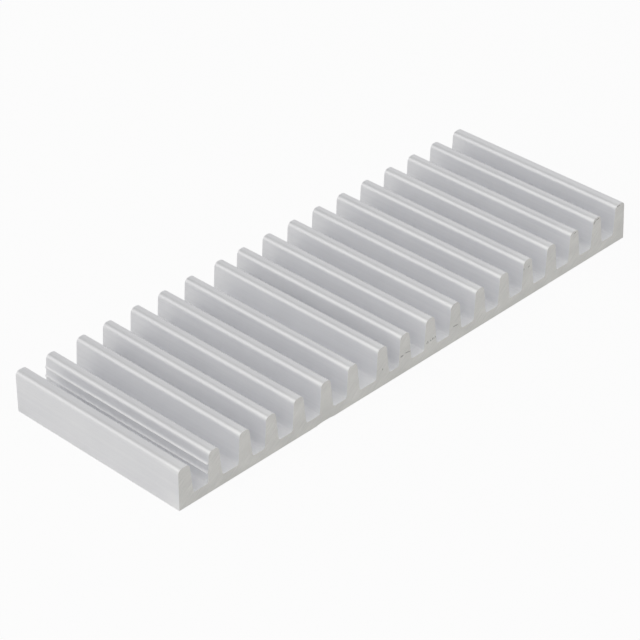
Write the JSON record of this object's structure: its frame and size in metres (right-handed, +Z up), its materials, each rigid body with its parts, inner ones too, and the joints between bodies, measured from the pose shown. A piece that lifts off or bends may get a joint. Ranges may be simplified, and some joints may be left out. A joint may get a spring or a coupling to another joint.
{
  "type": "extruded heat sink",
  "caption": "Flat aluminium heat sink cut from an extrusion: a rectangular base with a row of tapered, round-topped cooling fins across it and fine clip ribs beside an end fin.",
  "frame": {"origin": "middle of the flat underside", "axes": "+X across the fins, away from the end fin that stands beside the clip ribs; +Y along the fins; +Z up, from the underside to the tops of the fins"},
  "size_m": [0.14, 0.05, 0.01],
  "materials": {
    "aluminium": "raw satin aluminium, as extruded, with finely sawn ends"
  },
  "bodies": {
    "root": {"heat_sink": "aluminium"}
  },
  "joints": []
}
